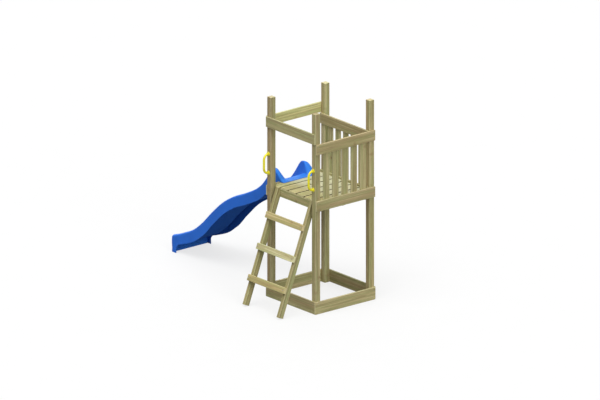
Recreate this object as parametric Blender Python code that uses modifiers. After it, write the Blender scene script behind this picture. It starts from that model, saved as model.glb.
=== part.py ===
"""A wooden play tower: four posts, a deck behind two slatted fences, a ladder, and a wavy plastic slide.

Tower axes: X runs from the ladder side (front) to the back, and Y from the right fence to the
slide side (left). Their zero is the outer ground corner of the front right post, until the last
step moves the whole tower so that the middle of its footprint stands at the origin.
"""

import math

import bmesh
import bpy
from mathutils import Vector

# Room between pieces that touch
CLEARANCE = 0.0003

# Tower
POST_SIDE = 0.070
POST_HEIGHT = 2.400
TOWER_LENGTH = 0.870
TOWER_WIDTH = 0.870
DECK_TOP = 1.331
BOARD_THICKNESS = 0.020
TIMBER_EDGE = 0.003

# Boards round the foot of the posts
BASE_HEIGHT = 0.148

# Rails: those over the open sides hang below the post tops, and those of the fences go by the deck
RAIL_HEIGHT = 0.125
OPEN_RAIL_BELOW_TOP = 0.235
FENCE_RAIL_OVER_DECK = 0.584
LOWER_RAIL_BELOW_DECK = 0.097
OPEN_RAIL_BOTTOM = POST_HEIGHT - OPEN_RAIL_BELOW_TOP - RAIL_HEIGHT
FENCE_RAIL_BOTTOM = DECK_TOP + FENCE_RAIL_OVER_DECK
LOWER_RAIL_BOTTOM = DECK_TOP - LOWER_RAIL_BELOW_DECK

# Fence slats
SLAT_COUNT = 5
SLAT_WIDTH = 0.090
SLAT_THICKNESS = 0.016
SLAT_TOP_BELOW_RAIL_TOP = 0.012

# Deck
DECK_BOARD_COUNT = 6
DECK_BOARD_WIDTH = 0.120
DECK_BOARD_THICKNESS = 0.020
DECK_SIDE_GAP = 0.001
JOIST_HEIGHT = 0.096
JOIST_THICKNESS = 0.035
RIM_HEIGHT = 0.120

# Ladder
LADDER_LEAN = math.radians(20.8)
LADDER_WIDTH = 0.655
STILE_WIDTH = 0.045
STILE_DEPTH = 0.070
STILE_TOP_LEVEL = 0.031
STEP_COUNT = 3
STEP_HEIGHT = 0.074
STEP_THICKNESS = 0.038
FIRST_STEP_RISE = 0.322
STEP_RISE = 0.350

# Grab handles
HANDLE_CENTRE_HEIGHT = 1.602
HANDLE_OFF_MIDDLE = 0.008
HANDLE_SPAN = 0.228
HANDLE_REACH = 0.068
HANDLE_GRIP_LENGTH = 0.100
HANDLE_THICKNESS = 0.027
HANDLE_FOOT_DIAMETER = 0.052
HANDLE_FOOT_THICKNESS = 0.009

# Slide, a single moulded sheet whose lip lies on the deck
SLIDE_WIDTH = 0.500
SLIDE_WALL = 0.005
SLIDE_REACH = 1.927
SLIDE_EXIT_HEIGHT = 0.092
LIP_ON_DECK = 0.070
LIP_CORNER = 0.035
LIP_EDGE_RISE = 0.010
# Its sides: a steep inner wall up to a ridge, a rounded rim past it, and a skirt down to the hem
BED_DISH = 0.004
BED_HALF_WIDTH = 0.148
WALL_RUN = 0.041
WALL_CURVE = 1.7
RIDGE_SHARE = 0.93
SIDE_HEIGHT = 0.118
RIM_INSET = 0.034
RIM_DROP = 0.026
SKIRT_DEPTH = 0.128
SKIRT_FLARE = 0.007
# The mouth, by distances from the lip: the sides rise to the wings behind sloping front faces
SIDE_RISE = (0.010, 0.162)
RIDGE_RISE = (0.060, 0.165)
RIM_SPREAD = (0.165, 0.050)
RIM_SPREAD_SHARE = 0.35
WING_PEAK = 0.225
WING_FRONT = 0.115
WING_BACK = 0.190
WING_RISE = 0.060
WING_LEAN = 0.020
# The exit
EXIT_SIDE_HEIGHT = 0.104
EXIT_TAPER = 0.250
EXIT_LEAN = 0.027
EXIT_BULGE_HEIGHT = 0.158
FOOT_LENGTH = 0.085
FOOT_EDGE = 0.006
# How finely it is drawn, across and then along
WALL_STEPS = 3
RIDGE_STEPS = 2
RIM_STEPS = 2
SKIRT_STEPS = 2
LIP_STEPS = 4
BROW_STEPS = 3
WING_STEPS = 8
RUN_STEPS = 19
# The fall line, as shares of the run past the deck's rim and of the fall down to the exit
FALL_LINE = (
    (0.0, 0.0),
    (0.056, 0.040),
    (0.124, 0.138),
    (0.208, 0.247),
    (0.316, 0.338),
    (0.436, 0.422),
    (0.532, 0.513),
    (0.628, 0.640),
    (0.723, 0.783),
    (0.808, 0.885),
    (0.904, 0.954),
    (1.0, 1.0),
)

# Screws
SCREW_SHANK = 0.006
SCREW_HEAD = 0.012
SCREW_HEAD_HEIGHT = 0.0035
COACH_SHANK = 0.008
COACH_HEAD = 0.016
COACH_HEAD_HEIGHT = 0.006
SMALL_SHANK = 0.004
SMALL_HEAD = 0.008
SMALL_HEAD_HEIGHT = 0.0025
STEP_SCREW_LENGTH = 0.080
JOIST_SCREW_LENGTH = 0.075
HANDLE_SCREW_LENGTH = 0.050
SLIDE_SCREW_LENGTH = 0.022
SLIDE_SCREW_SPREAD = 0.130
SLIDE_SCREW_FROM_LIP = 0.035

parts = bpy.data.collections.new("play_tower")
cutters = bpy.data.collections.new("cutters")


def clear_scene():
    for old in list(bpy.data.objects):
        bpy.data.objects.remove(old)
    bpy.context.scene.collection.children.link(parts)
    bpy.context.scene.collection.children.link(cutters)


def material(name, colour, roughness, metallic=0.0):
    made = bpy.data.materials.new(name)
    made.use_nodes = True
    shader = made.node_tree.nodes["Principled BSDF"]
    shader.inputs["Base Color"].default_value = (*colour, 1.0)
    shader.inputs["Roughness"].default_value = roughness
    shader.inputs["Metallic"].default_value = metallic
    return made


def add_object(name, mesh, look):
    made = bpy.data.objects.new(name, mesh)
    mesh.materials.clear()
    mesh.materials.append(look)
    made.parent = tower_frame
    parts.objects.link(made)
    return made


def box_mesh(name, size):
    shape = bmesh.new()
    bmesh.ops.create_cube(shape, size=1.0)
    bmesh.ops.scale(shape, vec=size, verts=shape.verts)
    mesh = bpy.data.meshes.new(name)
    shape.to_mesh(mesh)
    shape.free()
    return mesh


def ease_edges(piece):
    """Rounds off the sawn edges of a timber a little."""
    bevel = piece.modifiers.new("eased_edges", "BEVEL")
    bevel.width = TIMBER_EDGE
    bevel.segments = 1
    bevel.limit_method = "ANGLE"


def timber(name, low, high, look):
    """A straight timber between two opposite corners."""
    low, high = Vector(low), Vector(high)
    piece = add_object(name, box_mesh(name, high - low), look)
    piece.location = (low + high) / 2
    ease_edges(piece)
    return piece


def turned_mesh(name, profile, steps):
    """A solid of revolution about Z, from (radius, height) points that run from the top down."""
    mesh = bpy.data.meshes.new(name)
    mesh.from_pydata(
        [(radius, 0.0, height) for radius, height in profile],
        [(index, index + 1) for index in range(len(profile) - 1)],
        [],
    )
    turned = bpy.data.objects.new(name, mesh)
    parts.objects.link(turned)
    screw = turned.modifiers.new("turn", "SCREW")
    screw.steps = steps
    screw.render_steps = steps
    screw.use_merge_vertices = True
    screw.merge_threshold = 0.00001
    solid = solid_mesh(turned)
    bpy.data.objects.remove(turned)
    return solid


def solid_mesh(source):
    """The evaluated mesh of an object or a curve, with its loose caps welded on."""
    bpy.context.view_layer.update()
    graph = bpy.context.evaluated_depsgraph_get()
    mesh = bpy.data.meshes.new_from_object(source.evaluated_get(graph))
    shape = bmesh.new()
    shape.from_mesh(mesh)
    bmesh.ops.remove_doubles(shape, verts=shape.verts, dist=0.00001)
    bmesh.ops.recalc_face_normals(shape, faces=shape.faces)
    shape.to_mesh(mesh)
    shape.free()
    return mesh


def cut(piece, mesh, place, turn):
    """Takes the shape of a mesh, set at a place and turn, out of a piece."""
    cutter = bpy.data.objects.new(piece.name + "_cutter", mesh)
    cutter.location = place
    cutter.rotation_mode = "QUATERNION"
    cutter.rotation_quaternion = turn
    cutter.parent = tower_frame
    cutter.hide_render = True
    cutter.display_type = "WIRE"
    cutters.objects.link(cutter)
    hole = piece.modifiers.new("hole", "BOOLEAN")
    hole.operation = "DIFFERENCE"
    hole.object = cutter


def screw_mesh(name, shank, head, head_height, length, room=0.0):
    """A screw that points down from its head's underside at the origin, swollen by some room."""
    radius = shank / 2 + room
    head_radius = head / 2 + room
    tip = min(0.5 * shank, 0.4 * length)
    return turned_mesh(
        name,
        [
            (0.0, head_height + room),
            (0.72 * head_radius, head_height + room),
            (head_radius, 0.45 * head_height),
            (head_radius, -room),
            (radius, -room),
            (radius, tip - length - room),
            (0.0, -length - room),
        ],
        steps=10,
    )


def add_screw(name, place, direction, carriers, shank, head, head_height, length):
    """A screw whose head sits at a place and whose shank runs along a direction, in its own hole."""
    turn = Vector((0.0, 0.0, -1.0)).rotation_difference(Vector(direction))
    screw = add_object(name, screw_mesh(name, shank, head, head_height, length), STEEL)
    screw.location = place
    screw.rotation_mode = "QUATERNION"
    screw.rotation_quaternion = turn
    room = screw_mesh(name + "_room", shank, head, head_height, length, CLEARANCE)
    for carrier in carriers:
        cut(carrier, room, place, turn)
    return screw


def add_posts():
    posts = {}
    for end, x in (("front", 0.0), ("back", TOWER_LENGTH - POST_SIDE)):
        for side, y in (("right", 0.0), ("left", TOWER_WIDTH - POST_SIDE)):
            name = f"post_{end}_{side}"
            posts[name] = timber(name, (x, y, 0.0), (x + POST_SIDE, y + POST_SIDE, POST_HEIGHT), WOOD)
    return posts


def outer_board(name, side, bottom, height, start=0.0, end=0.0):
    """A board on the outer faces of the posts, start and end being what it runs past them."""
    near, far = -CLEARANCE - BOARD_THICKNESS, -CLEARANCE
    if side in ("back", "left"):
        across = TOWER_LENGTH if side == "back" else TOWER_WIDTH
        near, far = across + CLEARANCE, across + CLEARANCE + BOARD_THICKNESS
    if side in ("front", "back"):
        low, high = (near, -start, bottom), (far, TOWER_WIDTH + end, bottom + height)
    else:
        low, high = (-start, near, bottom), (TOWER_LENGTH + end, far, bottom + height)
    return timber(name, low, high, WOOD)


def add_base():
    over_end = CLEARANCE + BOARD_THICKNESS
    outer_board("base_board_right", "right", 0.0, BASE_HEIGHT, start=over_end)
    outer_board("base_board_left", "left", 0.0, BASE_HEIGHT, end=over_end)
    outer_board("base_board_front", "front", 0.0, BASE_HEIGHT)
    outer_board("base_board_back", "back", 0.0, BASE_HEIGHT)


def back_rail(name, bottom):
    """A rail of the back fence, on the inner faces of the back posts."""
    far = TOWER_LENGTH - POST_SIDE - CLEARANCE
    low = (far - BOARD_THICKNESS, 0.0, bottom)
    return timber(name, low, (far, TOWER_WIDTH, bottom + RAIL_HEIGHT), WOOD)


def add_rails():
    outer_board("top_rail_front", "front", OPEN_RAIL_BOTTOM, RAIL_HEIGHT)
    outer_board("top_rail_left", "left", OPEN_RAIL_BOTTOM, RAIL_HEIGHT)
    outer_board("top_rail_right", "right", FENCE_RAIL_BOTTOM, RAIL_HEIGHT)
    outer_board("lower_rail_right", "right", LOWER_RAIL_BOTTOM, RAIL_HEIGHT)
    back_rail("top_rail_back", FENCE_RAIL_BOTTOM)
    back_rail("lower_rail_back", LOWER_RAIL_BOTTOM)


def add_slats():
    """The slats of both fences stand between the posts, behind the rails, with equal gaps."""
    top = FENCE_RAIL_BOTTOM + RAIL_HEIGHT - SLAT_TOP_BELOW_RAIL_TOP
    back_face = TOWER_LENGTH - POST_SIDE
    for side, run in (("right", TOWER_LENGTH), ("back", TOWER_WIDTH)):
        opening = run - 2 * POST_SIDE
        gap = (opening - SLAT_COUNT * SLAT_WIDTH) / (SLAT_COUNT + 1)
        for number in range(SLAT_COUNT):
            start = POST_SIDE + gap + number * (SLAT_WIDTH + gap)
            low = (start, 0.0, LOWER_RAIL_BOTTOM)
            high = (start + SLAT_WIDTH, SLAT_THICKNESS, top)
            if side == "back":
                low = (back_face, start, LOWER_RAIL_BOTTOM)
                high = (back_face + SLAT_THICKNESS, start + SLAT_WIDTH, top)
            timber(f"slat_{side}_{number + 1}", low, high, WOOD)


def add_deck():
    """Three joists run from fence to slide side, and the deck boards lie across them."""
    front = POST_SIDE + CLEARANCE
    back = TOWER_LENGTH - POST_SIDE - BOARD_THICKNESS - 2 * CLEARANCE
    joist_top = DECK_TOP - DECK_BOARD_THICKNESS - CLEARANCE
    right = SLAT_THICKNESS + CLEARANCE
    joists = {}
    middle = (front + back - JOIST_THICKNESS) / 2
    for place, x in (("front", front), ("middle", middle), ("back", back - JOIST_THICKNESS)):
        name = f"joist_{place}"
        low = (x, right, joist_top - JOIST_HEIGHT)
        joists[name] = timber(name, low, (x + JOIST_THICKNESS, TOWER_WIDTH, joist_top), WOOD)
    first = SLAT_THICKNESS + DECK_SIDE_GAP
    pitch = (TOWER_WIDTH - 2 * first - DECK_BOARD_WIDTH) / (DECK_BOARD_COUNT - 1)
    boards = []
    for number in range(DECK_BOARD_COUNT):
        y = first + number * pitch
        low = (front, y, DECK_TOP - DECK_BOARD_THICKNESS)
        high = (back, y + DECK_BOARD_WIDTH, DECK_TOP)
        boards.append(timber(f"deck_board_{number + 1}", low, high, WOOD))
    outer_board("deck_rim_left", "left", DECK_TOP - RIM_HEIGHT, RIM_HEIGHT)
    return joists, boards


def outline_solid(name, outline, thickness, look):
    """A flat outline in X and Z, given some thickness along Y about its middle."""
    curve = bpy.data.curves.new(name, "CURVE")
    curve.dimensions = "2D"
    curve.fill_mode = "BOTH"
    curve.extrude = thickness / 2
    spline = curve.splines.new("POLY")
    spline.points.add(len(outline) - 1)
    for point, (x, z) in zip(spline.points, outline):
        point.co = (x, z, 0.0, 1.0)
    spline.use_cyclic_u = True
    drawn = bpy.data.objects.new(name, curve)
    parts.objects.link(drawn)
    piece = add_object(name + "_solid", solid_mesh(drawn), look)
    bpy.data.objects.remove(drawn)
    piece.name = name
    piece.rotation_euler = (math.radians(90), 0.0, 0.0)
    return piece


def ladder_face_x(height):
    """Where the front face of the stiles stands at a height."""
    top_x = POST_SIDE - STILE_TOP_LEVEL
    return top_x - (DECK_TOP - height) * math.tan(LADDER_LEAN)


def add_stiles():
    """The stiles have square feet, a plumb cut against the joist and a level cut at the deck."""
    lean_x = STILE_DEPTH * math.cos(LADDER_LEAN)
    foot_rise = STILE_DEPTH * math.sin(LADDER_LEAN)
    foot_x = ladder_face_x(foot_rise)
    back_x = foot_x + lean_x
    plumb_low = (POST_SIDE - back_x) / math.tan(LADDER_LEAN)
    outline = [
        (back_x, 0.0),
        (POST_SIDE, plumb_low),
        (POST_SIDE, DECK_TOP),
        (ladder_face_x(DECK_TOP), DECK_TOP),
        (foot_x, foot_rise),
    ]
    stiles = {}
    for side, way in (("right", -1), ("left", 1)):
        name = f"ladder_stile_{side}"
        stile = outline_solid(name, outline, STILE_WIDTH, WOOD)
        stile.location.y = TOWER_WIDTH / 2 + way * (LADDER_WIDTH - STILE_WIDTH) / 2
        ease_edges(stile)
        stiles[side] = stile
    return stiles


def add_steps(stiles):
    """Each step is screwed to the front of both stiles, along their slope."""
    outward = Vector((-math.cos(LADDER_LEAN), 0.0, math.sin(LADDER_LEAN)))
    for number in range(STEP_COUNT):
        name = f"ladder_step_{number + 1}"
        height = FIRST_STEP_RISE + number * STEP_RISE
        on_face = Vector((ladder_face_x(height), TOWER_WIDTH / 2, height))
        size = (STEP_THICKNESS, LADDER_WIDTH, STEP_HEIGHT)
        step = add_object(name, box_mesh(name, size), WOOD)
        step.location = on_face + outward * (CLEARANCE + STEP_THICKNESS / 2)
        step.rotation_euler = (0.0, LADDER_LEAN, 0.0)
        ease_edges(step)
        for side, stile in stiles.items():
            head = on_face + outward * (CLEARANCE + STEP_THICKNESS)
            head.y = stile.location.y
            add_screw(
                f"step_screw_{number + 1}_{side}",
                head,
                -outward,
                (step, stile),
                SCREW_SHANK,
                SCREW_HEAD,
                SCREW_HEAD_HEIGHT,
                STEP_SCREW_LENGTH,
            )


def add_joist_screws(joists, stiles, posts):
    """Coach screws go from behind the front joist into the stiles and the front posts."""
    joist = joists["joist_front"]
    x = POST_SIDE + CLEARANCE + JOIST_THICKNESS
    height = DECK_TOP - DECK_BOARD_THICKNESS - JOIST_HEIGHT / 2
    held = {
        "ladder_screw_right": stiles["right"],
        "ladder_screw_left": stiles["left"],
        "joist_screw_right": posts["post_front_right"],
        "joist_screw_left": posts["post_front_left"],
    }
    for name, carrier in held.items():
        if name.startswith("ladder"):
            y = carrier.location.y
        else:
            past_slats = (SLAT_THICKNESS + POST_SIDE) / 2
            y = past_slats if name.endswith("right") else TOWER_WIDTH - past_slats
        add_screw(
            name,
            (x, y, height),
            (-1.0, 0.0, 0.0),
            (joist, carrier),
            COACH_SHANK,
            COACH_HEAD,
            COACH_HEAD_HEIGHT,
            JOIST_SCREW_LENGTH,
        )


def handle_tube_mesh():
    """A bent bar whose feet point at the post, drawn in X and Z about the middle of its grip."""
    curve = bpy.data.curves.new("handle", "CURVE")
    curve.dimensions = "3D"
    curve.bevel_depth = HANDLE_THICKNESS / 2
    curve.bevel_resolution = 3
    curve.resolution_u = 5
    curve.use_fill_caps = True
    foot = HANDLE_SPAN / 2
    grip = HANDLE_GRIP_LENGTH / 2
    bend = 0.6 * (foot - grip)
    root = -HANDLE_FOOT_THICKNESS / 2
    spline = curve.splines.new("BEZIER")
    spline.bezier_points.add(3)
    stops = [
        ((root, foot), (0.5 * HANDLE_REACH, 0.0)),
        ((-HANDLE_REACH, grip), (0.0, bend)),
        ((-HANDLE_REACH, -grip), (0.0, bend)),
        ((root, -foot), (-0.5 * HANDLE_REACH, 0.0)),
    ]
    for point, ((x, z), (pull_x, pull_z)) in zip(spline.bezier_points, stops):
        point.co = (x, 0.0, z)
        point.handle_left = (x + pull_x, 0.0, z + pull_z)
        point.handle_right = (x - pull_x, 0.0, z - pull_z)
    bar = bpy.data.objects.new("handle_bar", curve)
    parts.objects.link(bar)
    mesh = solid_mesh(bar)
    bpy.data.objects.remove(bar)
    return mesh


def add_handle(side, post):
    y = post.location.y + HANDLE_OFF_MIDDLE
    handle = add_object(f"handle_{side}", handle_tube_mesh(), YELLOW)
    handle.location = (-CLEARANCE, y, HANDLE_CENTRE_HEIGHT)
    bevel_ring = 0.1 * HANDLE_FOOT_THICKNESS
    foot_radius = HANDLE_FOOT_DIAMETER / 2
    foot_mesh = turned_mesh(
        "handle_foot",
        [
            (0.0, HANDLE_FOOT_THICKNESS),
            (foot_radius - bevel_ring, HANDLE_FOOT_THICKNESS),
            (foot_radius, HANDLE_FOOT_THICKNESS - bevel_ring),
            (foot_radius, 0.0),
            (0.0, 0.0),
        ],
        steps=16,
    )
    outward = Vector((0.0, 0.0, 1.0)).rotation_difference(Vector((-1.0, 0.0, 0.0)))
    for end, way in (("top", 1), ("bottom", -1)):
        place = Vector((-CLEARANCE, y, HANDLE_CENTRE_HEIGHT + way * HANDLE_SPAN / 2))
        foot = bpy.data.objects.new(f"handle_{side}_foot_{end}", foot_mesh)
        foot.location = place
        foot.rotation_mode = "QUATERNION"
        foot.rotation_quaternion = outward
        foot.parent = tower_frame
        foot.hide_render = True
        foot.display_type = "WIRE"
        cutters.objects.link(foot)
        join = handle.modifiers.new("foot", "BOOLEAN")
        join.operation = "UNION"
        join.object = foot
    beside_tube = (HANDLE_THICKNESS + SMALL_HEAD) / 2 + CLEARANCE
    for end, way in (("top", 1), ("bottom", -1)):
        height = HANDLE_CENTRE_HEIGHT + way * (HANDLE_SPAN / 2 + beside_tube)
        add_screw(
            f"handle_screw_{side}_{end}",
            (-2 * CLEARANCE - HANDLE_FOOT_THICKNESS, y, height),
            (1.0, 0.0, 0.0),
            (handle, post),
            SMALL_SHANK,
            SMALL_HEAD,
            SMALL_HEAD_HEIGHT,
            HANDLE_SCREW_LENGTH,
        )


def ease(share):
    """A smooth step from 0 to 1."""
    share = min(max(share, 0.0), 1.0)
    return share * share * (3 - 2 * share)


def part_way(x, reach):
    """How far x is from the first to the second of two places, between 0 and 1."""
    return min(max((x - reach[0]) / (reach[1] - reach[0]), 0.0), 1.0)


def smooth_line(knots, x):
    """The height at x and the slope there of a smooth line through its knots, level at the first."""
    steps = [(b[1] - a[1]) / (b[0] - a[0]) for a, b in zip(knots, knots[1:])]
    slopes = [0.0] + [(a + b) / 2 for a, b in zip(steps, steps[1:])] + [steps[-1]]
    index = sum(1 for knot in knots[1:-1] if knot[0] <= x)
    (x_0, y_0), (x_1, y_1) = knots[index], knots[index + 1]
    width = x_1 - x_0
    t = (x - x_0) / width
    curve = (2 * t**3 - 3 * t**2 + 1) * y_0 + (3 * t**2 - 2 * t**3) * y_1
    curve += width * ((t**3 - 2 * t**2 + t) * slopes[index] + (t**3 - t**2) * slopes[index + 1])
    slope = 6 * (t - t**2) * (y_1 - y_0) / width
    slope += (3 * t**2 - 4 * t + 1) * slopes[index] + (3 * t**2 - 2 * t) * slopes[index + 1]
    return curve, slope


class Slide:
    """The lines of the slide, each a function of Y."""

    lip = TOWER_WIDTH - LIP_ON_DECK
    brow = TOWER_WIDTH + BOARD_THICKNESS + 10 * CLEARANCE
    end = TOWER_WIDTH + SLIDE_REACH
    top = DECK_TOP + CLEARANCE + SLIDE_WALL
    fall = top - SLIDE_EXIT_HEIGHT

    def bed(self, y):
        if y <= self.brow:
            return self.top, 0.0
        run = self.end - self.brow
        share, slope = smooth_line(FALL_LINE, (y - self.brow) / run)
        return self.top - share * self.fall, -slope * self.fall / run

    def wing(self, y):
        """How much of a wing there is, from 0 to 1."""
        past = y - self.lip - WING_PEAK
        off_peak = min(max(-past / WING_FRONT, past / WING_BACK), 1.0)
        return math.cos(off_peak * math.pi / 2) ** 2

    def rim(self, y):
        risen = ease(part_way(y - self.lip, SIDE_RISE))
        side = LIP_EDGE_RISE + (SIDE_HEIGHT - LIP_EDGE_RISE) * risen
        taper = ease(1 - (self.end - y) / EXIT_TAPER) * (SIDE_HEIGHT - EXIT_SIDE_HEIGHT)
        return self.bed(y)[0] + side + WING_RISE * self.wing(y) - taper

    def hem(self, y):
        """The lower edge of the skirts, square to the fall line; the feet reach the ground."""
        if y >= self.end - FOOT_LENGTH:
            return 0.0
        height, slope = self.bed(y)
        hem = height + SIDE_HEIGHT - SKIRT_DEPTH * math.hypot(1.0, slope)
        return hem if y > self.brow else max(hem, DECK_TOP + CLEARANCE)

    def half_width(self, y):
        short = max(LIP_CORNER - (y - self.lip), 0.0)
        return SLIDE_WIDTH / 2 - LIP_CORNER + math.sqrt(LIP_CORNER**2 - short**2)

    def section(self, y):
        """The upper face across the slide, from hem to hem, as (distance from the middle, height)."""
        half = self.half_width(y)
        bed, rim, hem = self.bed(y)[0], self.rim(y), self.hem(y)
        wing = self.wing(y)
        wall = 0.1 + 0.9 * part_way(y - self.lip, RIDGE_RISE)
        spread = ease(part_way(y - self.lip, RIM_SPREAD))
        base = half - SLIDE_WIDTH / 2 + BED_HALF_WIDTH
        floor = bed + BED_DISH * wall
        ridge = floor + (rim - floor) * RIDGE_SHARE * wall
        ridge_at = base + WALL_RUN * wall
        crest = half - RIM_INSET * (1 - RIM_SPREAD_SHARE * spread) - WING_LEAN * wing
        points = [(0.0, bed), (0.55 * base, bed + 0.3 * (floor - bed)), (base, floor)]
        for step in range(1, WALL_STEPS + 1):
            share = step / WALL_STEPS
            points.append((base + share * (ridge_at - base), floor + (ridge - floor) * share**WALL_CURVE))
        for step in range(1, RIDGE_STEPS + 1):
            share = step / RIDGE_STEPS
            rise = (rim - ridge) * (1 - (1 - share) ** 2)
            points.append((ridge_at + share * (crest - ridge_at), ridge + rise))
        drop = min(RIM_DROP + WING_RISE * wing / 2, 0.6 * (rim - hem))
        for step in range(1, RIM_STEPS + 1):
            turn = math.pi / 2 * step / RIM_STEPS
            points.append((crest + (half - crest) * math.sin(turn), rim - drop * (1 - math.cos(turn))))
        skirt = rim - drop - hem
        for step in range(1, SKIRT_STEPS + 1):
            down = skirt * step / SKIRT_STEPS
            points.append((half + down * SKIRT_FLARE / SKIRT_DEPTH, rim - drop - down))
        return [(-w, z) for w, z in reversed(points)] + points[1:]

    def under_section(self, y):
        """The lower face: the upper one set back by the wall, measured square to the bed."""
        points = self.section(y)
        stretch = math.hypot(1.0, self.bed(y)[1])
        inward = []
        for (w_0, z_0), (w_1, z_1) in zip(points, points[1:]):
            inward.append(Vector((z_1 - z_0, w_0 - w_1)).normalized())
        set_back = []
        for (w, z), before, after in zip(points, inward[:1] + inward, inward + inward[-1:]):
            shift = SLIDE_WALL * (before + after) / (1 + before.dot(after))
            set_back.append((w + shift.x, z + stretch * shift.y))
        set_back[0] = (set_back[0][0], points[0][1])
        set_back[-1] = (set_back[-1][0], points[-1][1])
        return set_back

    def stations(self, end):
        """Where the cross-sections stand, closer together at the lip and the wings."""
        wing_end = self.lip + WING_PEAK + WING_BACK
        foot = self.end - FOOT_LENGTH
        stations = []
        for step in range(LIP_STEPS):
            turn = math.pi / 2 * step / LIP_STEPS
            stations.append(self.lip + LIP_CORNER * (1 - math.cos(turn)))
        stations += spaced(self.lip + LIP_CORNER, self.brow, BROW_STEPS)
        stations += spaced(self.brow, wing_end, WING_STEPS)
        stations += spaced(wing_end, foot - FOOT_EDGE, RUN_STEPS)
        stations += [foot - FOOT_EDGE, foot, (foot + self.end) / 2, end]
        return stations


def spaced(start, end, count):
    return [start + (end - start) * step / count for step in range(count)]


def sheet_points(shape, section, stations):
    """Rows of points across the slide, then the rows of the flange that closes its end."""
    rows = []
    for y in stations:
        rows.append([shape.verts.new((TOWER_LENGTH / 2 + w, y, z)) for w, z in section(y)])
    last = rows[-1]
    flange = [last[SKIRT_STEPS:-SKIRT_STEPS]]
    for step in range(1, SKIRT_STEPS + 1):
        row = [last[SKIRT_STEPS - step]]
        for top in flange[0][1:-1]:
            row.append(shape.verts.new((top.co.x, top.co.y, top.co.z * (1 - step / SKIRT_STEPS))))
        flange.append(row + [last[step - SKIRT_STEPS - 1]])
    for point in set(last).union(*flange):
        point.co.y -= EXIT_LEAN * (1 - point.co.z / EXIT_BULGE_HEIGHT) ** 2
    return rows, flange


def edge_of_sheet(rows, flange):
    """The free edge, once round: the lip, one hem, the foot of the flange and the other hem."""
    one_hem = [row[-1] for row in rows[1:-1]]
    other_hem = [row[0] for row in reversed(rows[1:-1])]
    return rows[0] + one_hem + flange[-1][::-1] + other_hem


def add_slide(slide):
    shape = bmesh.new()
    upper = sheet_points(shape, slide.section, slide.stations(slide.end))
    lower = sheet_points(shape, slide.under_section, slide.stations(slide.end - SLIDE_WALL))
    for face in (upper, lower):
        for grid in face:
            for near, far in zip(grid, grid[1:]):
                for left in range(len(near) - 1):
                    shape.faces.new((near[left], near[left + 1], far[left + 1], far[left]))
    over, under = edge_of_sheet(*upper), edge_of_sheet(*lower)
    for index in range(len(over)):
        shape.faces.new((over[index - 1], over[index], under[index], under[index - 1]))
    bmesh.ops.recalc_face_normals(shape, faces=shape.faces)
    mesh = bpy.data.meshes.new("slide")
    shape.to_mesh(mesh)
    shape.free()
    return add_object("slide", mesh, BLUE)


def add_slide_screws(slide, sheet, board):
    """Two screws hold the lip down on the last deck board."""
    for side, way in (("right", 1), ("left", -1)):
        place = (
            TOWER_LENGTH / 2 + way * SLIDE_SCREW_SPREAD,
            slide.lip + SLIDE_SCREW_FROM_LIP,
            slide.top + CLEARANCE,
        )
        add_screw(
            f"slide_screw_{side}",
            place,
            (0.0, 0.0, -1.0),
            (sheet, board),
            SMALL_SHANK,
            SMALL_HEAD,
            SMALL_HEAD_HEIGHT,
            SLIDE_SCREW_LENGTH,
        )


def centre_footprint():
    """Moves the whole tower so that the middle of its bounding box stands over the origin."""
    bpy.context.view_layer.update()
    graph = bpy.context.evaluated_depsgraph_get()
    corners = []
    for piece in parts.objects:
        if piece.type == "MESH":
            seen = piece.evaluated_get(graph)
            corners += [seen.matrix_world @ Vector(corner) for corner in seen.bound_box]
    for axis in (0, 1):
        reach = [corner[axis] for corner in corners]
        tower_frame.location[axis] = -(min(reach) + max(reach)) / 2


clear_scene()
tower_frame = bpy.data.objects.new("tower_frame", None)
parts.objects.link(tower_frame)
WOOD = material("treated_pine", (0.36, 0.31, 0.15), 0.75)
BLUE = material("blue_plastic", (0.03, 0.13, 0.56), 0.35)
YELLOW = material("yellow_plastic", (0.85, 0.78, 0.03), 0.35)
STEEL = material("zinc_screws", (0.55, 0.55, 0.52), 0.35, 1.0)

posts = add_posts()
add_base()
add_rails()
add_slats()
joists, deck_boards = add_deck()
stiles = add_stiles()
add_steps(stiles)
add_joist_screws(joists, stiles, posts)
add_handle("right", posts["post_front_right"])
add_handle("left", posts["post_front_left"])
slide_lines = Slide()
sheet = add_slide(slide_lines)
add_slide_screws(slide_lines, sheet, deck_boards[-1])
centre_footprint()
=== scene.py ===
import math
import random

import bmesh
import bpy
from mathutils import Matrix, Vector


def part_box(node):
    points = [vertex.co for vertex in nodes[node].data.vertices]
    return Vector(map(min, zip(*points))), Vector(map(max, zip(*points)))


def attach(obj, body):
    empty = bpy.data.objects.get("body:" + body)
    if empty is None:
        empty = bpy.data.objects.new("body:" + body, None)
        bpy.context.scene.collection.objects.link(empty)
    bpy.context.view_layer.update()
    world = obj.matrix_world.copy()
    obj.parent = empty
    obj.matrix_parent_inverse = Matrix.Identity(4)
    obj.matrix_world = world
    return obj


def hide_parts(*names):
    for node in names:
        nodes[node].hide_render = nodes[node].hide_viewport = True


# Lengths are in metres. Places written as tower places count from the outer ground corner of the
# front right post, as in the CAD source, and ZERO moves them into the row frame.

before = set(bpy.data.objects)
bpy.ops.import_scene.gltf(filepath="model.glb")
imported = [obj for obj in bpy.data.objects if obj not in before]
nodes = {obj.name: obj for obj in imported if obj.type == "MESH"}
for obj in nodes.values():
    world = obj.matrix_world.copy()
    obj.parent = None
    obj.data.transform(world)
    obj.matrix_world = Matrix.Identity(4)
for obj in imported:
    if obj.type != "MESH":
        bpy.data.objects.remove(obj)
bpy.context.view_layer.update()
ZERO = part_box("post_front_right")[0]

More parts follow.
